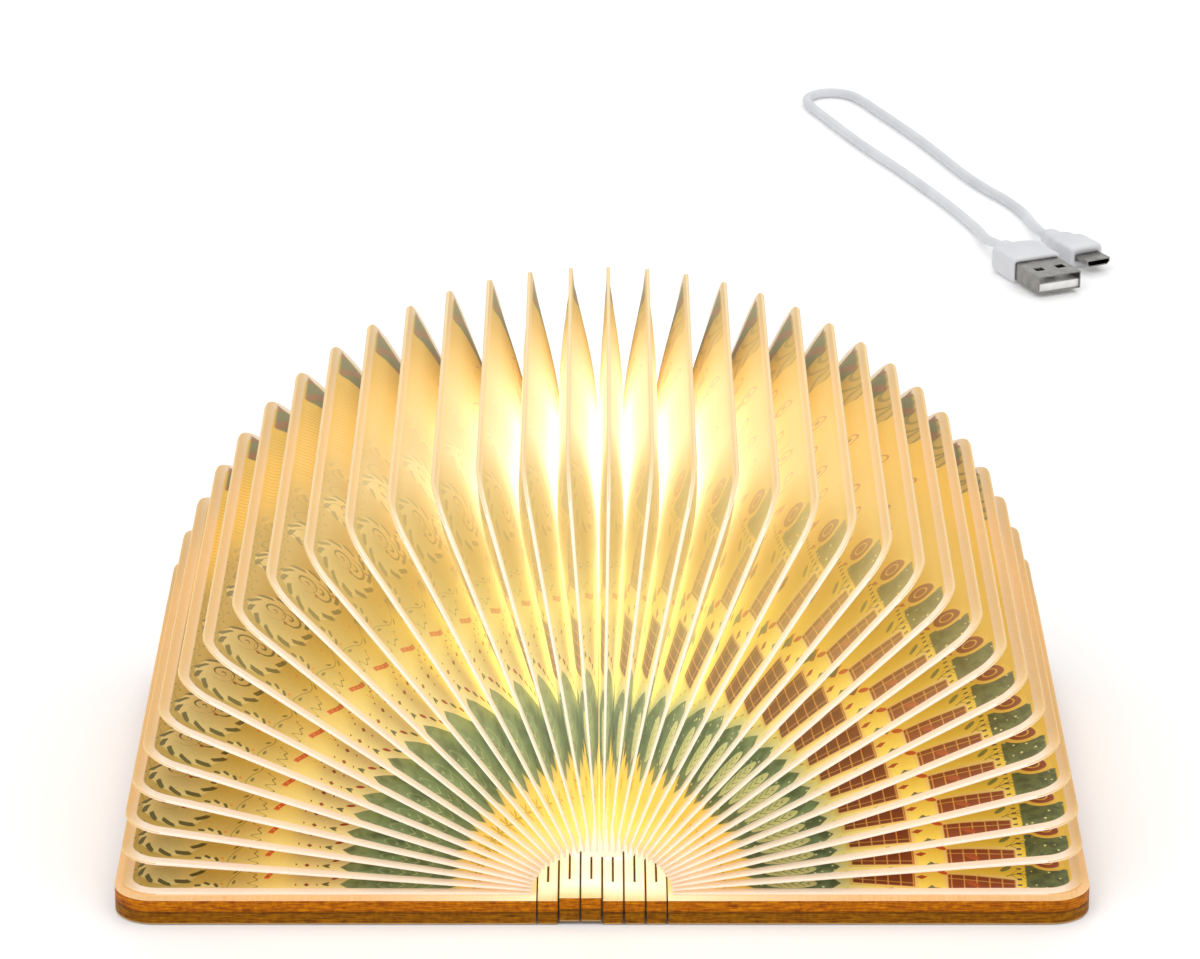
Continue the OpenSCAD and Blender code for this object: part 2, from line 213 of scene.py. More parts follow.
small_grip = loft("small_plug_grip", [
    (-4.2, 2.7, 2.7, 2), (-4.2, 4.2, 3.7, 2.2), (-3.9, 5.0, 4.1, 2.4), (-2.2, 5.2, 4.2, 2.6),
    (-0.6, 5.2, 4.2, 2.6), (-0.1, 5.6, 4.3, 2.8), (0.15, 6.8, 4.7, 3), (0.8, 7.6, 5.0, 3.4),
    (3.4, 7.9, 5.2, 4), (3.9, 8.6, 5.4, 4.2), (4.6, 9.5, 5.7, 4.8), (5.6, 9.8, 5.8, 5.5),
    (12.6, 9.8, 5.8, 6), (13.5, 9.5, 5.5, 6), (13.9, 8.9, 4.9, 6), (14, 8.3, 4.2, 7),
    (14, 6.95, 1.92, 14), (11, 6.95, 1.92, 14)], PLUG_B_AT, PLUG_B_DEG, PLUG_B_Z)
for grip, node in ((large_grip, "usb_a_grip"), (small_grip, "micro_usb_grip")):
    grip.data.materials.append(white_pvc)
    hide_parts(node)
    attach(grip, "spine")


def dress(name, finish):
    """Gives a piece that stays as it is in the CAD its finish."""
    nodes[name].data.materials.clear()
    nodes[name].data.materials.append(finish)


nickel, tree, shader = new_material("nickel_plate")
place = object_place(tree)
stretch = add_node(tree, "ShaderNodeMapping", Vector=place,
                   Rotation=(0, 0, radians(64)), Scale=(300, 6000, 300))
brushed = add_node(tree, "ShaderNodeTexNoise", Vector=stretch.outputs["Vector"], Scale=1, Detail=3)
tarnish = add_node(tree, "ShaderNodeTexNoise", Vector=place, Scale=420, Detail=5)
tree.links.new(ramp(tree, tarnish.outputs["Fac"],
                    [(0.3, (0.20, 0.19, 0.175)), (0.7, (0.30, 0.29, 0.27))]),
               shader.inputs["Base Color"])
tree.links.new(ramp(tree, tarnish.outputs["Fac"], [(0.3, (0.16,) * 3), (0.75, (0.3,) * 3)]),
               shader.inputs["Roughness"])
shader.inputs["Metallic"].default_value = 1
set_bump(tree, shader, brushed.outputs["Fac"], 0.15, 0.00005)

tongue_white, tree, shader = new_material("tongue_white")
place = object_place(tree)
cloud = add_node(tree, "ShaderNodeTexNoise", Vector=place, Scale=500, Detail=3).outputs["Fac"]
tree.links.new(ramp(tree, cloud, [(0.3, "E4E4E2"), (0.7, "F4F4F2")]),
               shader.inputs["Base Color"])
shader.inputs["Roughness"].default_value = 0.3

dress("usb_a_shell", nickel)
dress("micro_usb_shell", nickel)
dress("usb_a_tongue", tongue_white)

[c * MM for c in lead_route[0]]


# Each cover is two layers of 2.4 mm plywood, glued and then cut by laser, which browns the edges.
# The outer face is brown veneer. The rim round the leaves is pale, and painted brighter towards the
# spine as light from the strip.
BOARD_T = 2.4
COVER_END, COVER_EDGE, SPINE_HALF_W = 61, 92.3, 12


class Signal:
    """A number in a node tree, so that a rule or a pattern can be written as a sum."""

    def __init__(self, tree, socket):
        self.tree, self.socket = tree, socket

    def math(self, operation, *others, clamp=False):
        node = self.tree.nodes.new("ShaderNodeMath")
        node.operation = operation
        node.use_clamp = clamp
        for place, value in zip(node.inputs, (self, *others)):
            if isinstance(value, Signal):
                self.tree.links.new(value.socket, place)
            else:
                place.default_value = value
        return Signal(self.tree, node.outputs[0])

    def __add__(self, other):
        return self.math("ADD", other)

    def __radd__(self, other):
        return self.math("ADD", other)

    def __sub__(self, other):
        return self.math("SUBTRACT", other)

    def __rsub__(self, other):
        return self.math("MULTIPLY", -1).math("ADD", other)

    def __mul__(self, other):
        return self.math("MULTIPLY", other)

    def __truediv__(self, other):
        return self.math("DIVIDE", other)

    def __pow__(self, other):
        return self.math("POWER", other)

    def clamped(self):
        return self.math("ADD", 0, clamp=True)

    def least(self, other):
        return self.math("MINIMUM", other)

    def most(self, other):
        return self.math("MAXIMUM", other)

    def sine(self):
        return self.math("SINE")

    def cosine(self):
        return self.math("COSINE")

    def root(self):
        return self.math("SQRT")

    def size(self):
        return self.math("ABSOLUTE")


def parts_of(tree, vector, scale=1.0):
    """The three numbers of a vector, each times a scale."""
    split = add_node(tree, "ShaderNodeSeparateXYZ", Vector=vector).outputs
    return [Signal(tree, split[axis]) * scale for axis in "XYZ"]


def noise(tree, vector, stretch, detail=4, rough=0.6):
    """Noise from 0 to 1, with a frequency per metre along each axis."""
    mapped = add_node(tree, "ShaderNodeMapping", Vector=vector, Scale=stretch).outputs["Vector"]
    node = add_node(tree, "ShaderNodeTexNoise", Vector=mapped, Scale=1.0, Detail=detail,
                    Roughness=rough)
    return Signal(tree, node.outputs["Fac"])


def laid_over(tree, under, colour, mask):
    """Lays a colour over another where the mask says."""
    node = add_node(tree, "ShaderNodeMix", {"data_type": "RGBA"})
    tree.links.new(mask.clamped().socket, node.inputs["Factor"])
    for place, value in (("A", under), ("B", colour)):
        if isinstance(value, bpy.types.NodeSocket):
            tree.links.new(value, node.inputs[place])
        else:
            node.inputs[place].default_value = (*linear(value), 1)
    return node.outputs["Result"]


def lit_by_strip(tree, shader, colour, light, tint):
    """The lamp's own light on a surface: its colour times the light, warm as the tint."""
    warm = add_node(tree, "ShaderNodeCombineColor", Red=(light * tint[0]).socket,
                    Green=(light * tint[1]).socket, Blue=(light * tint[2]).socket)
    node = add_node(tree, "ShaderNodeMix", {"data_type": "RGBA", "blend_type": "MULTIPLY"})
    node.inputs["Factor"].default_value = 1
    tree.links.new(colour, node.inputs["A"])
    tree.links.new(warm.outputs["Color"], node.inputs["B"])
    tree.links.new(node.outputs["Result"], shader.inputs["Emission Color"])
    shader.inputs["Emission Strength"].default_value = 1


def spread_mm(x, pitch, first=0):
    """x counted from the nearest of a row of places, pitch apart."""
    return ((x - first) / pitch + 0.5).math("FRACT") * pitch - pitch / 2


class Wood:
    """The wood of a piece cut from the glued boards, seen on its edges, its top and beneath."""

    def __init__(self, name):
        self.material, self.tree, self.shader = new_material(name)
        place_out = add_node(self.tree, "ShaderNodeTexCoord").outputs
        place = place_out["Object"]
        self.x, self.y, self.z = parts_of(self.tree, place, 1000)
        self.facing = parts_of(self.tree, place_out["Normal"])
        self.on_top = ((self.facing[2] - 0.5) * 20).clamped()
        self.beneath = ((self.facing[2] * -1 - 0.5) * 20).clamped()
        self.plies = noise(self.tree, place, (260, 260, 3600), 5)
        self.scorch = noise(self.tree, place, (900, 900, 900), 5)
        self.grain = noise(self.tree, place, (1500, 55, 1500), 6)
        self.figure = noise(self.tree, place, (75, 9, 75), 5)

    def over(self, under, colour, mask):
        """Lays a colour over another on this piece."""
        return laid_over(self.tree, under, colour, mask)

    def burnt_edge(self, stops):
        """The plies as the laser leaves them, scorched unevenly."""
        return ramp(self.tree, (self.plies * 0.65 + self.scorch * 0.35).socket, stops)

    def layered(self, edge, z):
        """The edge with the glue line between the boards and the bare veneer at the bottom."""
        edge = self.over(edge, "3A1C00", (1 - (z - BOARD_T).size() / 0.45) * 0.6)
        return self.over(edge, "D9B276", (1 - z / 0.32) * 0.9)

    def veneer(self, to_rim, rim):
        """Brown veneer, burnt dark along its rim."""
        colour = ramp(self.tree, (self.figure * 0.55 + self.grain * 0.45).socket, [
            (0.3, "5E3314"), (0.48, "87501F"), (0.62, "A56A30"), (0.75, "B98047")])
        return self.over(colour, "2A1406", (1 - to_rim / rim) * 0.8)

    def birch(self, dark, pale):
        """The pale inner face."""
        streaks = self.figure * 0.4 + self.grain * 0.6
        return ramp(self.tree, streaks.socket, [(0.3, dark), (0.7, pale)])

    def finish(self, edge, top, under, light, tint):
        """Joins the three colours, and adds the strip's light, uneven gloss and the grain."""
        colour = self.over(self.over(edge, top, self.on_top), under, self.beneath)
        self.tree.links.new(colour, self.shader.inputs["Base Color"])
        lit_by_strip(self.tree, self.shader, colour, light, tint)
        self.tree.links.new(ramp(self.tree, self.grain.socket, [(0.3, (0.42,) * 3), (0.7, (0.6,) * 3)]),
                            self.shader.inputs["Roughness"])
        self.shader.inputs["Specular IOR Level"].default_value = 0.1
        set_bump(self.tree, self.shader, (self.grain * 0.6 + self.plies * 0.4).socket, 0.35, 0.00012)
        self.material.cycles.emission_sampling = "NONE"
        return self.material


OUTER_EDGE = [(0.3, "452400"), (0.45, "7A4700"), (0.58, "9C6200"), (0.72, "B97D10")]
INNER_EDGE = [(0.32, "5E2800"), (0.44, "9A4F00"), (0.57, "C67400"), (0.7, "E09600")]


def plywood(name, edge_stops):
    """A board of a cover, paler on top the nearer it is to the spine: painted light from the strip."""
    wood = Wood(name)
    edge = wood.layered(wood.burnt_edge(edge_stops), wood.z)
    to_rim = (COVER_END - wood.y.size()).least(COVER_EDGE - wood.x.size())
    out = wood.x.size() - SPINE_HALF_W
    near = (1 - out / 16).clamped()
    # painted light: the birch top is washed paler towards the spine, where the strip shines on it
    top = wood.over(wood.birch("EDBB7E", "F8D3A0"), "FFEDC4", 1 - out / 34)
    light = wood.on_top * (0.05 + near * near * 0.12)
    return wood.finish(edge, top, wood.veneer(to_rim, 0.9), light, (1, 0.94, 0.74))


outer_ply = plywood("outer_ply", OUTER_EDGE)
inner_ply = plywood("inner_ply", INNER_EDGE)
for side in ("left", "right"):
    dress(f"{side}_outer_board", outer_ply)
    dress(f"{side}_inner_board", inner_ply)


# Six slats of the same glued plywood make the spine. Each has four short slits along its middle,
# and its top is washed out by the light of the strip.
SLATS, RAISED_SLATS, LIFT = 6, (2, 3), 0.6
SLAT_PITCH = 4.1
SLIT_PITCH, FIRST_SLIT, SLIT_HALF_L = 29.4, -44.1, 8.8


def slat_wood(lift):
    """Both layers of a slat, which is one node, with the glue line at the slat's own height."""
    wood = Wood(f"slat_ply_{round(lift * 10)}")
    z = wood.z - lift
    edge = wood.over(wood.burnt_edge(OUTER_EDGE), wood.burnt_edge(INNER_EDGE), (z - BOARD_T) * 8)
    edge = wood.layered(edge, z)
    from_cut = spread_mm(wood.x, SLAT_PITCH).size()
    # dark line at each cut between slats: laser scorch, and painted shade of the narrow kerf
    edge = wood.over(edge, "160B02", (1 - from_cut / 0.42) * 0.85)
    walls = ((wood.facing[0].size() - 0.5) * 20).clamped()
    # kerf walls painted near-black: laser scorch, and painted shade deep in the narrow kerf
    edge = wood.over(edge, "1C0E02", walls)
    # painted light: a warm glow at the top of the kerf walls, from the strip above
    edge = wood.over(edge, "8A5606", walls * (z / 5).clamped() ** 8)

    inward = ((COVER_END - wood.y.size() - 0.8) / 6).clamped()
    top = wood.over(wood.birch("F7D79A", "FFE9BC"), "FFFCF4", inward)
    beside_slit = ((0.34 - spread_mm(wood.x, SLAT_PITCH, SLAT_PITCH / 2).size()) * 5).clamped()
    along_slit = ((SLIT_HALF_L - spread_mm(wood.y, SLIT_PITCH, FIRST_SLIT).size()) * 5).clamped()
    charred = (beside_slit * along_slit).most((0.3 - from_cut) * 6).clamped()
    top = wood.over(top, "8C5A14", charred * 0.85)
    light = wood.on_top * inward * 0.4 * (1 - charred)
    return wood.finish(edge, top, wood.veneer(from_cut, 0.6), light, (1, 0.96, 0.92))


low_slat, raised_slat = slat_wood(0), slat_wood(LIFT)
for n in range(1, SLATS + 1):
    dress(f"spine_slat_{n}", raised_slat if n in RAISED_SLATS else low_slat)


# Three nickel-plated magnet discs sit in blind pockets in each cover, under the veneer's layer.
# They hold the book shut, or together when it is opened right round.
magnet_nickel, tree, shader = new_material("magnet_nickel")
place = object_place(tree)
scuffs = noise(tree, place, (2200, 300, 2200), 4)
tree.links.new(ramp(tree, scuffs.socket, [(0.3, (0.52, 0.52, 0.53)), (0.7, (0.7, 0.7, 0.71))]),
               shader.inputs["Base Color"])
tree.links.new(ramp(tree, scuffs.socket, [(0.3, (0.18,) * 3), (0.7, (0.36,) * 3)]),
               shader.inputs["Roughness"])
shader.inputs["Metallic"].default_value = 1
set_bump(tree, shader, scuffs.socket, 0.1, 0.00005)
for side in ("left", "right"):
    dress(f"{side}_magnets", magnet_nickel)


# The light strip is a white moulded tray with a circuit board over a flat battery cell. An opal
# diffuser closes it, and the charging socket opens at the head end of the tray.
CHIP_PITCH, FIRST_CHIP = 12.9, -36.7


def strip_material(name, fineness, stops, rough, metallic=0.0, bump=0.1):
    """A plain finish with a little cloud, uneven gloss and fine bump."""
    material, tree, shader = new_material(name)
    place = object_place(tree)
    cloud = noise(tree, place, fineness, 4)
    tree.links.new(ramp(tree, cloud.socket, stops), shader.inputs["Base Color"])
    gloss = ramp(tree, cloud.socket, [(0.3, (rough - 0.06,) * 3), (0.7, (rough + 0.08,) * 3)])
    tree.links.new(gloss, shader.inputs["Roughness"])
    shader.inputs["Metallic"].default_value = metallic
    set_bump(tree, shader, cloud.socket, bump, 0.0001)
    return material, tree, shader, place


tray_white, tree, shader, place = strip_material("tray_white", (900, 900, 900), [
    (0.3, "E6E5E0"), (0.7, "F1F0EC")], 0.5)
# painted light: the tray has a faint warm glow of its own, standing in for the strip's light on it
shader.inputs["Emission Color"].default_value = (1, 0.93, 0.8, 1)
shader.inputs["Emission Strength"].default_value = 0.4
opal, tree, shader, place = strip_material("opal_diffuser", (300, 300, 300), [
    (0.3, "FFF6E2"), (0.7, "FFFBF0")], 0.35)
x, y, z = parts_of(tree, place, 1000)
hot_spot = (spread_mm(y, CHIP_PITCH, FIRST_CHIP) / 6.4).size()
shine = 0.44 - hot_spot * hot_spot * 0.08
warm = add_node(tree, "ShaderNodeCombineColor", Red=shine.socket, Green=(shine * 0.93).socket,
                Blue=(shine * 0.74).socket)
tree.links.new(warm.outputs["Color"], shader.inputs["Emission Color"])
shader.inputs["Emission Strength"].default_value = 1
shader.inputs["Coat Weight"].default_value = 0.3

board_mask, tree, shader, place = strip_material("white_solder_mask", (700, 700, 700), [
    (0.3, "ECEBE4"), (0.7, "F7F6F1")], 0.3)
x, y, z = parts_of(tree, place, 1000)
pads = (spread_mm(y, CHIP_PITCH, FIRST_CHIP).size() - 2.2).size()
pads = (1 - (pads - 0.35) * 8).clamped() * ((1.6 - x.size()) * 8).clamped()
tracks = ((0.14 - (x.size() - 2.9).size()) * 20).clamped()
gold = laid_over(tree, shader.inputs["Base Color"].links[0].from_socket, "C9A24C",
                 pads.most(tracks * 0.7))
tree.links.new(gold, shader.inputs["Base Color"])

chips_mix, tree, shader, place = strip_material("light_chips", (1500, 1500, 1500), [
    (0.3, "F3E9CE"), (0.7, "FBF3DC")], 0.35)
x, y, z = parts_of(tree, place, 1000)
facing = parts_of(tree, add_node(tree, "ShaderNodeTexCoord").outputs["Normal"])[2]
in_row = ((53.6 - y) * 20).clamped() * ((y + 38.4) * 20).clamped()
phosphor = (1.05 - x.size().most(spread_mm(y, CHIP_PITCH, FIRST_CHIP).size())) * 14
chip_colour = laid_over(tree, shader.inputs["Base Color"].links[0].from_socket,
                        "F1C232", phosphor.clamped() * ((facing - 0.5) * 20).clamped())
chip_colour = laid_over(tree, "18181A", chip_colour, in_row)
tree.links.new(chip_colour, shader.inputs["Base Color"])

foil = strip_material("cell_foil", (240, 160, 600), [
    (0.3, (0.5, 0.51, 0.53)), (0.7, (0.72, 0.73, 0.75))], 0.34, 1.0, 0.5)[0]
socket_steel = strip_material("socket_steel", (2400, 300, 2400), [
    (0.3, (0.56, 0.56, 0.57)), (0.7, (0.74, 0.74, 0.75))], 0.28, 1.0)[0]
for name, finish in (("lamp_tray", tray_white), ("lamp_diffuser", opal), ("led_board", board_mask),
                     ("board_chips", chips_mix), ("battery_cell", foil),
                     ("charging_socket", socket_steel)):
    dress(name, finish)


# The leaves are 36 envelopes of thin white spun-bonded sheet, printed on both outer faces and sealed
# along the foot, the fore edge and the head. Air and the glue at the spine hold them open as pillows,
# each as full as the room beside its neighbours lets it be.
LEAVES, LEFT_LEAVES = 36, 17
LEAF_L, LEAF_W, LEAF_CORNER, HEM = 77.8, 117, 7, 2.3
ARCH_HALF_W, ARCH_H, ARCH_Z = 13.3, 8.8, 5.035
HEM_T, HEM_GROWTH = 0.3, 0.6
LEFT_TOP_DEG, LEFT_BUNCH_DEG, LEFT_SWAY_DEG = 86, 1.8, 1.2
RIGHT_TOP_DEG, RIGHT_BUNCH_DEG = 89.2, 0.4


def leaf_turn(k):
    """The angle of leaf k above the right cover, in degrees."""
    if k <= LEFT_LEAVES:
        share = (k - 1) / (LEFT_LEAVES - 1)
        return 180 - (LEFT_TOP_DEG * share - LEFT_BUNCH_DEG * sin(pi * share)
                      - LEFT_SWAY_DEG * sin(2 * pi * share))
    share = (LEAVES - k) / (LEAVES - LEFT_LEAVES - 1)
    return RIGHT_TOP_DEG * share - RIGHT_BUNCH_DEG * sin(pi * share)


leaf_tree = bpy.data.node_groups.new("leaf_envelope", "GeometryNodeTree")
leaf_tree.interface.new_socket("Geometry", in_out="OUTPUT", socket_type="NodeSocketGeometry")
LEAF_INPUTS = {"Turn": 0, "Length": LEAF_L, "Height": LEAF_W, "Corner": LEAF_CORNER, "Hem": HEM,
               "Hem Thickness": HEM_T, "Foot Reach": 15, "Head Reach": 34, "Fore Reach": 20,
               "Upper Root": 0, "Upper Growth": 0, "Lower Root": 0, "Lower Growth": 0,
               "Arch Half Width": ARCH_HALF_W, "Arch Height": ARCH_H, "Arch Level": ARCH_Z}
for name, value in LEAF_INPUTS.items():
    socket = leaf_tree.interface.new_socket(name, in_out="INPUT", socket_type="NodeSocketFloat")
    socket.default_value = value
given = leaf_tree.nodes.new("NodeGroupInput").outputs
value_of = {name: Signal(leaf_tree, given[name]) for name in LEAF_INPUTS}
ROWS, COLUMNS = 28, 46
grid = add_node(leaf_tree, "GeometryNodeMeshGrid", Size_X=1.0, Size_Y=1.0,
                Vertices_X=2 * ROWS + 1, Vertices_Y=COLUMNS + 1)
spot = add_node(leaf_tree, "ShaderNodeSeparateXYZ",
                Vector=leaf_tree.nodes.new("GeometryNodeInputPosition").outputs["Position"])
row = ((Signal(leaf_tree, spot.outputs["X"]) + 0.5) * (2 * ROWS)).math("ROUND")
column = ((Signal(leaf_tree, spot.outputs["Y"]) + 0.5) * COLUMNS).math("ROUND")
from_rim = (row - ROWS).size()
face_side = (ROWS - row).math("SIGN")
shift = ((column - 1) / (COLUMNS - 2)).clamped()
across = value_of["Height"] * (0.5 - (shift * pi).cosine() * 0.5)
to_side = across.least(value_of["Height"] - across)
corner = value_of["Corner"]
corner_side = (corner - to_side).most(0)
reach = value_of["Length"] - corner + (corner * corner - corner_side * corner_side).most(0).root()
along = reach * ((((from_rim - 1) / (ROWS - 2)).clamped()) * (pi / 2)).cosine()
to_fore = value_of["Length"] - along
corner_fore = (corner - to_fore).most(0)
to_rim = corner - (corner_side * corner_side + corner_fore * corner_fore).root()
hem = value_of["Hem"]
swell = ((to_rim - hem) / 2.5).clamped()
for inset, reach in ((to_fore, "Fore Reach"), (across, "Foot Reach"),
                     (value_of["Height"] - across, "Head Reach")):
    swell = swell * ((((inset - hem) / value_of[reach]).clamped() * (pi / 2)).sine() ** 0.75)
upper = value_of["Upper Root"] + value_of["Upper Growth"] * along
lower = value_of["Lower Root"] + value_of["Lower Growth"] * along
is_upper = face_side * 0.5 + 0.5
room = upper * is_upper + lower * (1 - is_upper)
on_skin = (from_rim.least(1) * (ROWS - from_rim).least(1)
           * column.least(1) * (COLUMNS - column).least(1))
half_hem = value_of["Hem Thickness"] * (0.5 + along / value_of["Length"] * HEM_GROWTH)
off_middle = face_side * on_skin * (half_hem + room * swell)
turn = value_of["Turn"]
out = turn.cosine() * (value_of["Arch Half Width"] + along) + turn.sine() * off_middle
up = (value_of["Arch Level"] + turn.sine() * (value_of["Arch Height"] + along)
      - turn.cosine() * off_middle)
place = add_node(leaf_tree, "ShaderNodeCombineXYZ", X=(out * MM).socket,
                 Y=((across - value_of["Height"] / 2) * MM).socket, Z=(up * MM).socket)
half = along / value_of["Length"] * 0.5
print_place = add_node(leaf_tree, "ShaderNodeCombineXYZ",
                       X=(half * face_side + (1 - face_side) * 0.5).socket,
                       Y=(across / value_of["Height"]).socket)
printed = add_node(leaf_tree, "GeometryNodeStoreNamedAttribute",
                   {"data_type": "FLOAT2", "domain": "CORNER"},
                   Geometry=grid.outputs["Mesh"], Name="print", Value=print_place.outputs[0])
leaned = add_node(leaf_tree, "GeometryNodeStoreNamedAttribute",
                  {"data_type": "FLOAT", "domain": "POINT"},
                  Geometry=printed.outputs[0], Name="upright", Value=turn.sine().socket)
shaped = add_node(leaf_tree, "GeometryNodeSetPosition", Geometry=leaned.outputs[0],
                  Position=place.outputs[0])
outward = add_node(leaf_tree, "GeometryNodeFlipFaces", Mesh=shaped.outputs[0])
sealed = add_node(leaf_tree, "GeometryNodeMergeByDistance", Geometry=outward.outputs[0],
                  Distance=0.00001)
smooth = add_node(leaf_tree, "GeometryNodeSetShadeSmooth", Geometry=sealed.outputs[0])
solid = add_node(leaf_tree, "GeometryNodeRealizeInstances", Geometry=smooth.outputs[0])
flat = add_node(leaf_tree, "GeometryNodeInputNamedAttribute", {"data_type": "FLOAT_VECTOR"},
                Name="print")
flat_x = add_node(leaf_tree, "ShaderNodeSeparateXYZ", Vector=flat.outputs["Attribute"]).outputs["X"]
is_above = add_node(leaf_tree, "FunctionNodeCompare", {"operation": "LESS_THAN"}, A=flat_x, B=0.5)
dressed_below = add_node(leaf_tree, "GeometryNodeSetMaterial", Geometry=solid.outputs[0])
dressed_above = add_node(leaf_tree, "GeometryNodeSetMaterial", Geometry=dressed_below.outputs[0],
                         Selection=is_above.outputs[0])
leaf_out = leaf_tree.nodes.new("NodeGroupOutput")
leaf_tree.links.new(dressed_above.outputs[0], leaf_out.inputs[0])


# The print is a made-up pattern on the white sheet: wreaths, scrolls, sprigs and pennants on one face,
# bricks, wheels and lozenges on the other, and a pointed green border on both. The sheet lets light
# through, and glows most where the upright leaves face each other over the strip.
SHEET_WHITE, PALE_RIM, DARK_OLIVE = "FDE9D6", "FDEDB0", "4A4726"
GREEN, DEEP_GREEN, RUST, ORANGE = "87996C", "5F6C45", "B04A1C", "E67A2E"
POINT_PITCH, FRINGE_PITCH, BEAD_PITCH = 18.4, 4.6, 1.84


def band(x, low, high, soft=0.2):
    """1 between low and high, with soft edges."""
    return ((x - low) / soft).clamped() * ((high - x) / soft).clamped()


def below(x, high, soft=0.2):
    """1 below high, with a soft edge."""
    return ((high - x) / soft).clamped()


def distance(x, y):
    """The length of the way across x and up y."""
    return (x * x + y * y).root()


class Face:
    """A printed face in the making, a mm out from the spine and b mm up from the foot."""

    def __init__(self, tree, a, b, place, ground):
        self.tree, self.a, self.b, self.place = tree, a, b, place
        cloud = self.mottle(70)
        self.paint = ramp(tree, (a / LEAF_L + (cloud - 0.5) * 0.06).socket, ground)

    def mottle(self, frequency):
        """Unevenness of the ink, from 0 to 1."""
        return noise(self.tree, self.place, (frequency,) * 3, 2)

    def ink(self, colour, mask):
        """Prints a colour over what is there already."""
        self.paint = laid_over(self.tree, self.paint, colour, mask)

    def green_border(self, first, point, fringe, rim, inside, blotch):
        """Points towards the fore edge and a fringe towards the spine, each (length, start)."""
        peak = 1 - (spread_mm(self.b, POINT_PITCH, first) / (POINT_PITCH / 2)).size()
        roof = peak * point[0] + point[1]
        hanging = (spread_mm(self.b, FRINGE_PITCH, first) / (FRINGE_PITCH / 2)).size()
        start = hanging * fringe[0] + fringe[1]
        self.ink(PALE_RIM, (roof + rim - self.a) * 3)
        mask = ((roof - self.a) * 3).clamped() * ((self.a - start) * 3).clamped()
        self.ink(inside, ((roof - 3 - self.a) * 3).clamped() * (1 - mask))
        self.ink(GREEN, mask)
        self.ink(DEEP_GREEN, (self.mottle(blotch[0]) - blotch[1]) * 4 * mask)
        return peak, mask

    def stars(self, line, pitch, first, points, depth, size, tone, strength):
        """A row of small stars near the spine."""
        x, y = self.a - line, spread_mm(self.b, pitch, first)
        star = distance(x, y) - (y.math("ARCTAN2", x) * points).cosine() * depth
        self.ink(tone, below(star, size, 0.25) * strength)

    def sprigs(self, line, sway, pitch, tone, mask):
        """A waving stem with a leaf on each side in turn."""
        stem = self.a - line - (self.b * (pi / pitch)).sine() * sway
        self.ink(tone, band(stem, -0.14, 0.14, 0.14) * mask)
        for first, side in ((1.2, 1), (1.2 + pitch / 2, -1)):
            leaf_b, leaf_a = spread_mm(self.b, pitch, first), stem - side * 0.8
            leaf = distance(leaf_b * 0.8 + leaf_a * side * 0.5, leaf_a * 1.35)
            self.ink(tone, below(leaf, 0.5) * mask)

    def wreaths(self, first, line, size, mask):
        """A ring of short strokes with two scrolls and two berries in it."""
        x, y = self.a - line, spread_mm(self.b, 22, first)
        reach, turn = distance(x, y), y.math("ARCTAN2", x)
        self.ink("F6E4A2", below(reach, size, 0.4) * mask * 0.5)
        strokes = (turn * 11 + reach * 2.4).cosine() * 0.5 + (size * 0.9 - reach).size() * -6 / size
        self.ink("574E16", ((strokes + 0.42) / 0.2).clamped() * mask)
        gap = size * 0.25
        for side in (1, -1):
            u = x * 0.8 + y * (0.6 * side) - size * 0.3 * side
            v = y * 0.8 - x * (0.6 * side)
            curl, bend = distance(u, v), (v * side).math("ARCTAN2", u)
            whorl = spread_mm(curl - bend * (gap / (2 * pi)), gap)
            pen = size * 0.03 + (bend + side).sine() * size * 0.018
            stroke = ((pen - whorl.size()) / 0.14).clamped()
            self.ink("574E16", stroke * below(curl, size * 0.44) * mask)
            self.ink(RUST, below(distance(u + size * 0.5, v * 1.2), size * 0.08) * mask)

    def bricks(self, pitch, first, low, high, tone):
        """A course of long bricks with a pale rim, hatched with joints."""
        across = spread_mm(self.b, pitch, first) + (self.a - 45) * 0.12
        self.ink("FAD880", band(across, -3.5, 3.5, 0.2) * band(self.a, low - 0.7, high + 0.7, 0.3))
        brick = band(across, -2.8, 2.8, 0.25) * band(self.a, low, high, 0.3)
        self.ink(tone, brick)
        self.ink("E5A050", below(spread_mm(self.a, 2.4).size(), 0.2, 0.15) * brick * 0.9)
        self.ink("E9B860", band(across.size(), 1.5, 1.8, 0.15) * brick * 0.8)

    def lozenges(self, line, pitch, first, tone, slim):
        """A row of lozenges, narrower the larger slim is."""
        away = spread_mm(self.b, pitch, first).size() * slim + (self.a - line).size() * 0.5 * slim
        self.ink(tone, below(away, 1.3))

    def leaflets(self, line, pitch, first, tilt, tone):
        """A row of small leaning leaves."""
        across = spread_mm(self.b, pitch, first)
        away = distance((self.a - line + across * tilt) * 0.62, (across - (self.a - line) * tilt) * 1.5)
        self.ink(tone, below(away, 1.15))

    def fronds(self, line, first, tone):
        """A rib with slanting veins, laid outwards from the spine."""
        rib = spread_mm(self.b, 21, first) - (self.a * 0.5).sine() * 0.9
        self.ink(tone, band(rib, -0.22, 0.22, 0.16) * band(self.a, line - 4.5, line + 4.5, 0.3))
        veins = band(spread_mm(self.a - rib.size() * 1.1, 1.6), -0.16, 0.16, 0.14)
        self.ink(tone, veins * band(rib, -1.3, 1.3) * band(self.a, line - 4, line + 3))


UPPER_GROUND = [(0.0, "FFF0B4"), (0.1, "FFE268"), (0.2, "FFE588"), (0.3, "FAE7AC"), (0.46, "FFF0A8"),
                (0.6, "F9E690"), (0.74, "D6BC62"), (0.93, "B8963E")]
LOWER_GROUND = [(0.0, "FFF0B4"), (0.1, "FFDA34"), (0.2, "FFE266"), (0.3, "FFF0A8"), (0.45, "FFEE94"),
                (0.62, "FFE568"), (0.85, "FAD648"), (0.97, "EEC23E")]


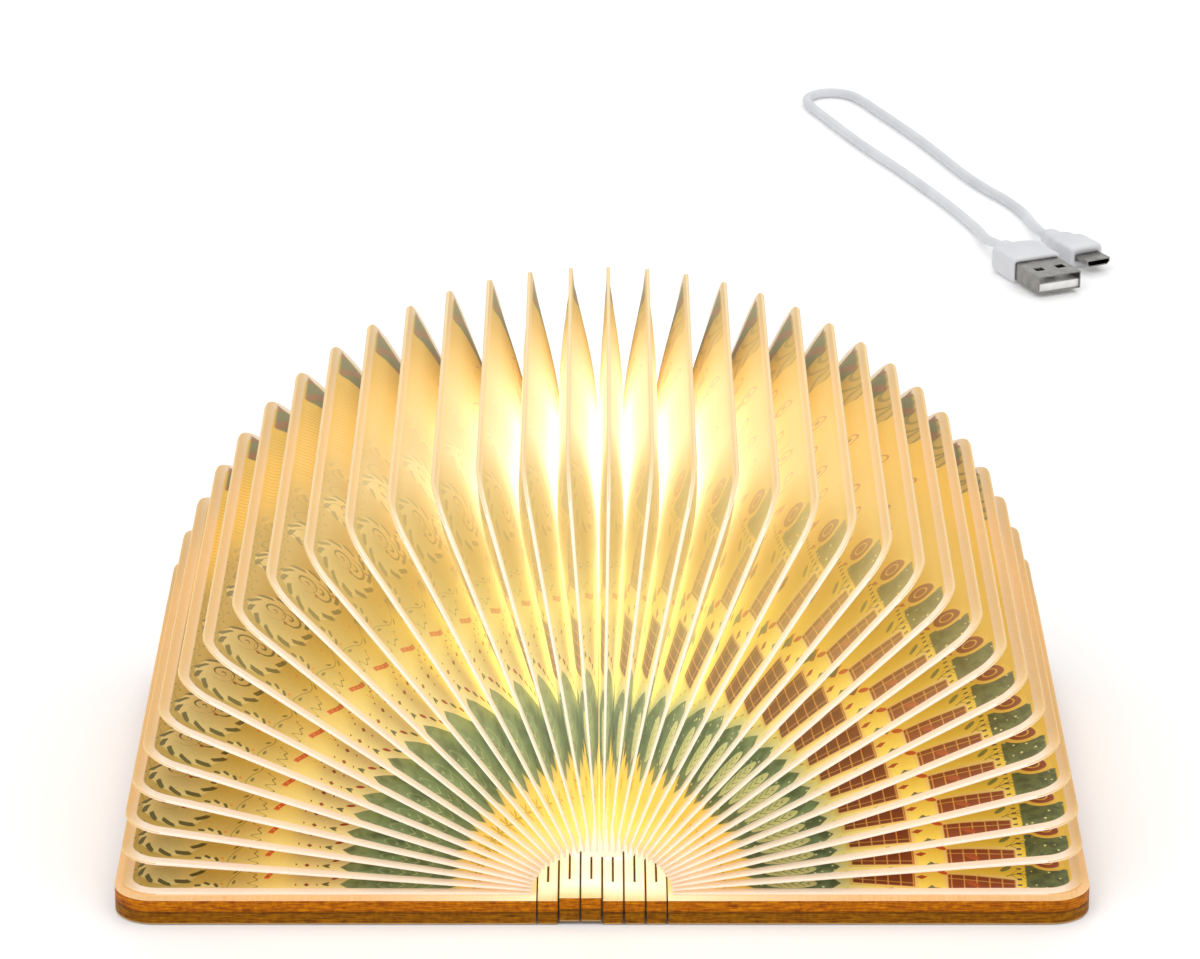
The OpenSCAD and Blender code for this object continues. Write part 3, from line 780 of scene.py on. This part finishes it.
def wreaths_and_sprigs(face):
    """The upper face of a leaf."""
    a, b, ink = face.a, face.b, face.ink
    far = ((b - 44) / 22).clamped() * ((a - 26) / 14).clamped()
    near = 1 - ((b - 40) / 16).clamped()
    gilt = ramp(face.tree, (a / LEAF_L).socket, [(0.4, "FFEFA0"), (0.75, "FFE060"), (0.96, "F4C548")])
    ink(gilt, far)
    ink("C8952A", band(spread_mm(b, 1.7), -0.3, 0.3) * band(a, 57, 75.5) * band(b, 60, 97) * 0.6)

    peak, border = face.green_border(3.4, (11, 25.5), (3.4, 13.4), 1.3, "FFE488", (320, 0.45))
    from_point = spread_mm(b, POINT_PITCH, 3.4)
    drop = distance(from_point * 1.5, (a - 24) * 0.5)
    ink("D3D4A0", band(drop, 2.3, 2.7, 0.3) * border * 0.8)
    chevrons = below(spread_mm(a - from_point.size() * 1.1, 2.4).size(), 0.24)
    ink("D3D4A0", chevrons * below(drop, 1.7) * border * 0.8)
    beads = distance(spread_mm(b, BEAD_PITCH, 3.4), a - 28.2 - peak * 11)
    ink(RUST, below(beads, 0.66))
    ink(DEEP_GREEN, below(beads, 0.66) * band(spread_mm(b, 2 * BEAD_PITCH, 3.4), -0.92, 0.92, 0.1))

    diamonds = spread_mm(a - 42.6, 2.3).size() + spread_mm(b, 3.2).size() * 0.9
    ink("9C4A24", below(diamonds, 0.62) * band(a, 40.4, 44.8, 0.1))
    ribbon = a - 49.4 - (b * 0.5).sine() * 1.2
    ink("D95A2A", band(ribbon, -0.6, 0.6) * band(spread_mm(b, 12.4, 7), -2.4, 2.4, 0.3))
    ink("F8D890", below(distance(spread_mm(b, 1.3, 0.6), ribbon), 0.22))
    for line, first, tone in ((46.2, 10.4, "A8552A"), (52.6, 3.4, "7C7230")):
        squiggle = a - line - (b * 3.1).sine() * (b * 0.9).cosine() * 1.1
        ink(tone, band(squiggle, -0.2, 0.2, 0.14) * band(spread_mm(b, 12.4, first), -3.6, 3.6))

    face.sprigs(56.2, 1.3, 5.2, "7E7436", near)
    face.sprigs(75.0, -0.4, 4.4, "8E7B34", near)
    ink(ORANGE, below(distance(spread_mm(b, 5.2, 3.4), a - 58.6), 0.36) * near)
    for first, line, size in ((9.8, 68.2, 6.8), (18.6, 62.4, 4.2), (0.2, 61.4, 3.6)):
        face.wreaths(first, line, size, near)
    for line, size, tone in ((70, 3.2, "6B6326"), (60, 2.2, "8A8038")):
        loops = distance((a - line) * 0.8, spread_mm(b, 8.8, 4.4))
        where = band(b, 26, 52, 0.4) * near
        ink(tone, band(loops, size - 0.2, size + 0.16) * where)
        ink(tone, below(loops, size * 0.25) * where)

    pennant = ((a - 57 - spread_mm(b, 8.4, 3).size() * 2.6) * 2).clamped()
    pennant = ((64 - a) * 2).clamped() * pennant * band(b, 58, 112, 1)
    ink("A6421C", pennant)
    ink("8A9A68", pennant * band(spread_mm(b, 25.2, 11.4), -4.2, 4.2, 0.1))
    dash = band(spread_mm(b, 7.2), -2.3, 2.3, 0.3) * band(a - 66 - (b * 0.3).sine() * 1.6, -0.32, 0.32)
    ink("B0602A", dash * far)
    face.stars(10.4, 7.4, 3, 6, 0.95, 1.35, "B4AA34", 0.9)


def bricks_and_wheels(face):
    """The lower face of a leaf."""
    a, b, ink = face.a, face.b, face.ink
    cells = add_node(face.tree, "ShaderNodeTexVoronoi", Vector=face.place, Scale=620)
    speckle = Signal(face.tree, cells.outputs["Distance"])
    peak, border = face.green_border(3.8, (9, 23), (3.2, 13), 1.2, "FFE070", (300, 0.36))
    from_point = spread_mm(b, POINT_PITCH, 3.8)
    ink("EDE6AE", (0.22 - speckle) * 14 * border)
    almond = distance(from_point * 1.9, (a - 22.5) * 0.62)
    ink("F3E8A4", below(almond, 3.1))
    ink("8A9450", below(spread_mm(a - from_point.size() * 1.2, 1.5).size(), 0.24) * below(almond, 2.4))
    beads = distance(spread_mm(b, BEAD_PITCH, 3.8), a - 25.6 - peak * 9)
    ink(RUST, below(beads, 0.46) * (1 - peak * 0.4))

    tiles = spread_mm(a, 3.8, 49).size() + spread_mm(b, 6.2, 2).size()
    tiles = below(tiles, 1.15) * band(a, 47, 51)
    ink(RUST, tiles)
    ink(DEEP_GREEN, band(spread_mm(b, 12.4, 2), -3, 3, 0.1) * tiles)
    face.bricks(21, 5.4, 34, 46, "7E3006")
    face.bricks(24, 4, 52, 65, "8E3A0A")
    for row in ((40, 21, 14, GREEN, 1.1), (48.2, 10.5, 9.4, DEEP_GREEN, 1.3),
                (57.2, 24, 12.5, DEEP_GREEN, 1.1), (60.8, 24, 17, GREEN, 1.2),
                (50, 7, 1.8, ORANGE, 1.9), (47.2, 7, 5.2, RUST, 2.1), (68.2, 24, 19, RUST, 1.4)):
        face.lozenges(*row)
    for row in ((49.4, 7.4, 1.4, 0.9, "6F7F5C"), (51, 8.8, 6.6, -0.8, "CF5A20"),
                (40.6, 11, 12.4, 0.7, "7A8A5A"), (56.8, 9.6, 13, -0.6, "B4501C"),
                (63.2, 9.6, 17, 0.8, "8C8A44"), (67.4, 9.6, 20.5, -0.7, "C8641E")):
        face.leaflets(*row)
    for row in ((38.5, 17.6, "C8562A"), (58.4, 21.5, "B4702A"), (67.6, 26, "9C8A38")):
        face.fronds(*row)

    later = band(b, 20, 100, 0.3)
    curl = distance(a - 69.8 - (b * 0.22).sine() * 1.8, spread_mm(b, 12.4, 29))
    ink("B0501F", band(curl, 1.7, 2.35) * later)
    ink(DEEP_GREEN, below(curl, 0.8) * later)
    ink("8E7A34", band(a - 65.4 - (b * 0.55).sine() * 0.9, -0.2, 0.2, 0.2) * later)
    block = band(a, 66.8, 75.3, 0.3) * band(b - (a - 71) * 0.12, 2, 9.4, 0.3)
    ink("66703F", block)
    ink("4A552F", (face.mottle(500) - 0.42) * 6 * block)
    ink("F3E6A0", (0.2 - speckle) * 14 * block)

    ink("F2C544", ((b - 76) / 16).clamped() * ((a - 34) / 16).clamped() * 0.75)
    crown = spread_mm(b, 12, 103).size() + (b - 103).size() * 0.2
    crown = below(crown, 9) * band(a, 55, 76) * band(b, 84, 114.6, 0.4)
    rings = distance(spread_mm(b, 15.5, 99) * 0.9, a - 76.5)
    ink("B4943E", below(rings, 13.5, 3) * crown * 0.85)
    ink("6E6228", band(spread_mm(rings, 3.3), -0.75, 0.5, 0.3) * below(rings, 13) * crown * 0.9)
    ink("D4621C", band(a - 60.5 - spread_mm(b, 5.2).size() * 1.7, -0.5, 0.4) * band(b, 82, 112, 0.4))
    wheel = distance(a - 71, b - 11.4)
    ink("F8CB50", below(wheel, 3.8))
    ink("9A4216", below(wheel, 2.8))
    ink("F2C24A", band(wheel, 1.1, 1.6))
    ink(DARK_OLIVE, band(spread_mm(b, 1.5), -0.3, 0.3, 0.15) * band(a, 65.2, 66.2, 0.15) * below(b, 17))
    face.stars(9.4, 8.8, 1, 5, 0.85, 1.1, "C4A824", 0.7)


def printed_sheet(name, ground, draw):
    """White sheet with a print, bare at the sealed hems, lit from inside by the strip."""
    material, tree, shader = new_material(name)
    flat = parts_of(tree, add_node(tree, "ShaderNodeUVMap", {"uv_map": "print"}).outputs["UV"])
    a, b = (0.5 - (flat[0] - 0.5).size()) * (2 * LEAF_L), flat[1] * LEAF_W
    place = object_place(tree)
    face = Face(tree, a, b, place, ground)
    draw(face)

    to_fore, to_side = LEAF_L - a, b.least(LEAF_W - b)
    in_corner = LEAF_CORNER - distance((LEAF_CORNER - to_fore).most(0), (LEAF_CORNER - to_side).most(0))
    to_rim = to_fore.least(to_side).least(in_corner)
    bare = ((HEM - 0.1 - to_rim) / 0.25).clamped()
    inked = 1 - bare
    # painted shade: the bare hem turns tan towards the fore edge
    face.ink(laid_over(tree, SHEET_WHITE, "E7BF82", (1 - (to_fore - 1) / 3) * 0.9), bare)
    fibre = noise(tree, place, (1400, 1400, 1400), 2)
    face.paint = add_node(tree, "ShaderNodeHueSaturation", Color=face.paint,
                          Value=(fibre * 0.14 + 0.93).socket).outputs["Color"]

    lean = add_node(tree, "ShaderNodeAttribute", {"attribute_name": "upright"})
    upright = Signal(tree, lean.outputs["Fac"])
    steep = upright ** 6
    far_off = (a - 53) / 20
    # painted light: a pool of light on upright leaves, mid-way out and up the leaf
    light_pool = ((far_off * far_off * -1).math("EXPONENT") * ((b - 5) / 24).clamped()
            * ((100 - b) / 40).clamped() * steep)
    # painted light: a glow along the root, by the spine
    root = (1 - (a - (spread_mm(b, FRINGE_PITCH) / (FRINGE_PITCH / 2)).size() * 4) / 5.5).clamped()
    # masks for painted shade and light on upright leaves, used just below
    head_warm_shade = ((b - 78) / 26).clamped() * ((a - 26) / 22).clamped()
    fore_warm_shade = (1 - (to_rim - 2) / 15).clamped() * (a / 14 - 3.4).clamped()
    foot_glow_tint = ((a - 38) / 10).clamped() * ((50 - b) / 14).clamped()
    # painted light: a pale green-yellow wash on upright leaves near the foot
    face.ink("E9E08C", steep * foot_glow_tint * inked * 0.4)
    # painted shade: warm gold along the fore edge and the head on upright leaves
    face.ink("D2A428", fore_warm_shade.most(head_warm_shade) * upright ** 3 * inked * 0.85)
    stripes = laid_over(tree, "5C5E34", "8A4524", band(spread_mm(a + b * 0.6, 6.2), -1.3, 1.3, 0.3))
    face.ink(stripes, band(b, 101, 114.5, 0.6) * band(a, 61, 75.5, 0.6) * 0.9)
    # painted light: the print is washed near-white in the pool of light and along the root
    face.ink("FFFBF2", (light_pool * 0.95 + root * 0.2) * inked)

    # painted light: the base colour is washed pale green-white the more upright the leaf stands
    pale = laid_over(tree, face.paint, "F1F4CC", upright * upright * 0.28 + 0.02)
    glow = laid_over(tree, face.paint, "FFF9E8", steep * 0.25 * ((90 - b) / 20).clamped())
    tree.links.new(pale, shader.inputs["Base Color"])
    inner = upright * upright * ((a - 14) / 12).clamped()
    low = upright * ((44 - a) / 16).clamped()
    light = 0.12 + (inner * 0.06 + low * 0.14 + light_pool * 0.76 + root * 0.06) * (1 - bare * 0.8)
    lit_by_strip(tree, shader, glow, light, (0.98, 0.97, light_pool * 0.35 + 0.9))
    shader.inputs["Roughness"].default_value = 0.78
    shader.inputs["Sheen Weight"].default_value = 0.1
    set_bump(tree, shader, fibre.socket, 0.25, 0.0002)
    material.cycles.emission_sampling = "NONE"
    return material


dressed_below.inputs["Material"].default_value = printed_sheet(
    "leaf_print_lower", LOWER_GROUND, bricks_and_wheels)
dressed_above.inputs["Material"].default_value = printed_sheet(
    "leaf_print_upper", UPPER_GROUND, wreaths_and_sprigs)


MIDDLE_PAIR = {LEFT_LEAVES, LEFT_LEAVES + 1}
ROOT_FULLNESS, FORE_FULLNESS, SKIN_GAP = 0.85, 0.985, 0.04


def arch_point(k):
    """The middle of leaf k's root, on the arch that the roots are glued along."""
    turn = radians(leaf_turn(k))
    return Vector((ARCH_HALF_W * cos(turn), 0, ARCH_Z + ARCH_H * sin(turn)))


def room_beside(k, neighbour):
    """A leaf's share of the free space beside it, at the root and per mm outwards.

    Where the halves meet, the left leaf fills the gap, so that either half can close alone."""
    root_share = fore_share = 0.5
    if {k, neighbour} == MIDDLE_PAIR:
        root_share, fore_share = (0.35, 0.7) if k == LEFT_LEAVES else (0.74, 0.235)
    turn = radians(leaf_turn(k))
    square = Vector((sin(turn), 0, -cos(turn)))
    apart = abs((arch_point(neighbour) - arch_point(k)).dot(square))
    opening = sin(radians(abs(leaf_turn(k) - leaf_turn(neighbour))))
    kept = HEM_T / 2 + SKIN_GAP
    root = max(ROOT_FULLNESS * (apart * root_share - kept), 0.02)
    fore = FORE_FULLNESS * ((apart + opening * LEAF_L) * fore_share - kept)
    return root, (fore - root) / LEAF_L


for k in range(1, LEAVES + 1):
    name = f"leaf_{k:02d}"
    sizes = {"Turn": radians(leaf_turn(k))}
    if k < LEAVES:
        sizes["Upper Root"], sizes["Upper Growth"] = room_beside(k, k + 1)
    if k > 1:
        sizes["Lower Root"], sizes["Lower Growth"] = room_beside(k, k - 1)
    blank = bpy.data.objects.new("blank", bpy.data.meshes.new("blank"))
    bpy.context.scene.collection.objects.link(blank)
    maker = blank.modifiers.new("envelope", "NODES")
    maker.node_group = leaf_tree
    for socket in leaf_tree.interface.items_tree:
        if socket.in_out == "INPUT" and socket.name in sizes:
            maker[socket.identifier] = sizes[socket.name]
    finished = blank.evaluated_get(bpy.context.evaluated_depsgraph_get())
    envelope = bpy.data.objects.new(f"{name}_envelope", bpy.data.meshes.new_from_object(finished))
    bpy.data.objects.remove(blank)
    bpy.context.scene.collection.objects.link(envelope)
    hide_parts(name)
    turn = radians(leaf_turn(k))
    body, joint = {1: ("left_cover", "left_cover_fold"),
                   LEAVES: ("right_cover", "right_cover_fold")}.get(k, (name, f"{name}_turn"))
    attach(envelope, body)
    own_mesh(envelope)


# The floor is one white sheet, with soft studio light above it and a white surround. It shows white
# to the camera, and keeps the shadow round the lamp.
floor_data = bpy.data.meshes.new("floor")
FLOOR_HALF, FLOOR_Z = 6, -0.0002
floor_data.from_pydata([(x * FLOOR_HALF, y * FLOOR_HALF, FLOOR_Z)
                        for x, y in ((-1, -1), (1, -1), (1, 1), (-1, 1))], [], [(0, 1, 2, 3)])
floor = bpy.data.objects.new("floor", floor_data)
bpy.context.scene.collection.objects.link(floor)
floor_white, tree, shader = new_material("floor_white")
shader.inputs["Base Color"].default_value = (0.96, 0.96, 0.96, 1)
shader.inputs["Roughness"].default_value = 0.9
shader.inputs["Emission Color"].default_value = (1, 1, 1, 1)
x, y, z = parts_of(tree, object_place(tree), 1000)
# painted shade: the floor has a faint glow of its own except under the lamp, so it stays dark there;
# far off it glows more
glow_beyond_lamp = ((x.size() - 86) / 12).clamped().most(((y.size() - 56) / 12).clamped())
far_away = ((distance(x, y) - 900) / 1500).clamped()
tree.links.new((glow_beyond_lamp * 0.1 + far_away * 0.4).socket, shader.inputs["Emission Strength"])
floor_data.materials.append(floor_white)

world = bpy.data.worlds.new("studio")
bpy.context.scene.world = world
world.use_nodes = True
tree = world.node_tree
surround = tree.nodes["Background"]
rays = add_node(tree, "ShaderNodeLightPath").outputs
seen = add_node(tree, "ShaderNodeMath", {"operation": "MAXIMUM"})
tree.links.new(rays["Is Camera Ray"], seen.inputs[0])
tree.links.new(rays["Is Glossy Ray"], seen.inputs[1])
strength = add_node(tree, "ShaderNodeMapRange", Value=seen.outputs[0])
strength.inputs["To Min"].default_value = 0.55
strength.inputs["To Max"].default_value = 1
tree.links.new(strength.outputs["Result"], surround.inputs["Strength"])
surround.inputs["Color"].default_value = (1, 1, 1, 1)

for name, size, power, where in (("key_light", 1.2, 9, (-0.7, -0.8, 1.2)),
                                 ("fill_light", 1.6, 7, (0.9, -0.6, 1.1)),
                                 ("back_light", 1.2, 6, (0.1, 1.1, 1.3))):
    light = bpy.data.lights.new(name, "AREA")
    light.size = size
    light.energy = power
    lamp = bpy.data.objects.new(name, light)
    lamp.location = where
    towards = Vector((0, 0.05, 0.03)) - lamp.location
    lamp.rotation_euler = towards.to_track_quat("-Z", "Y").to_euler()
    bpy.context.scene.collection.objects.link(lamp)

bpy.context.scene.view_settings.view_transform = "Standard"
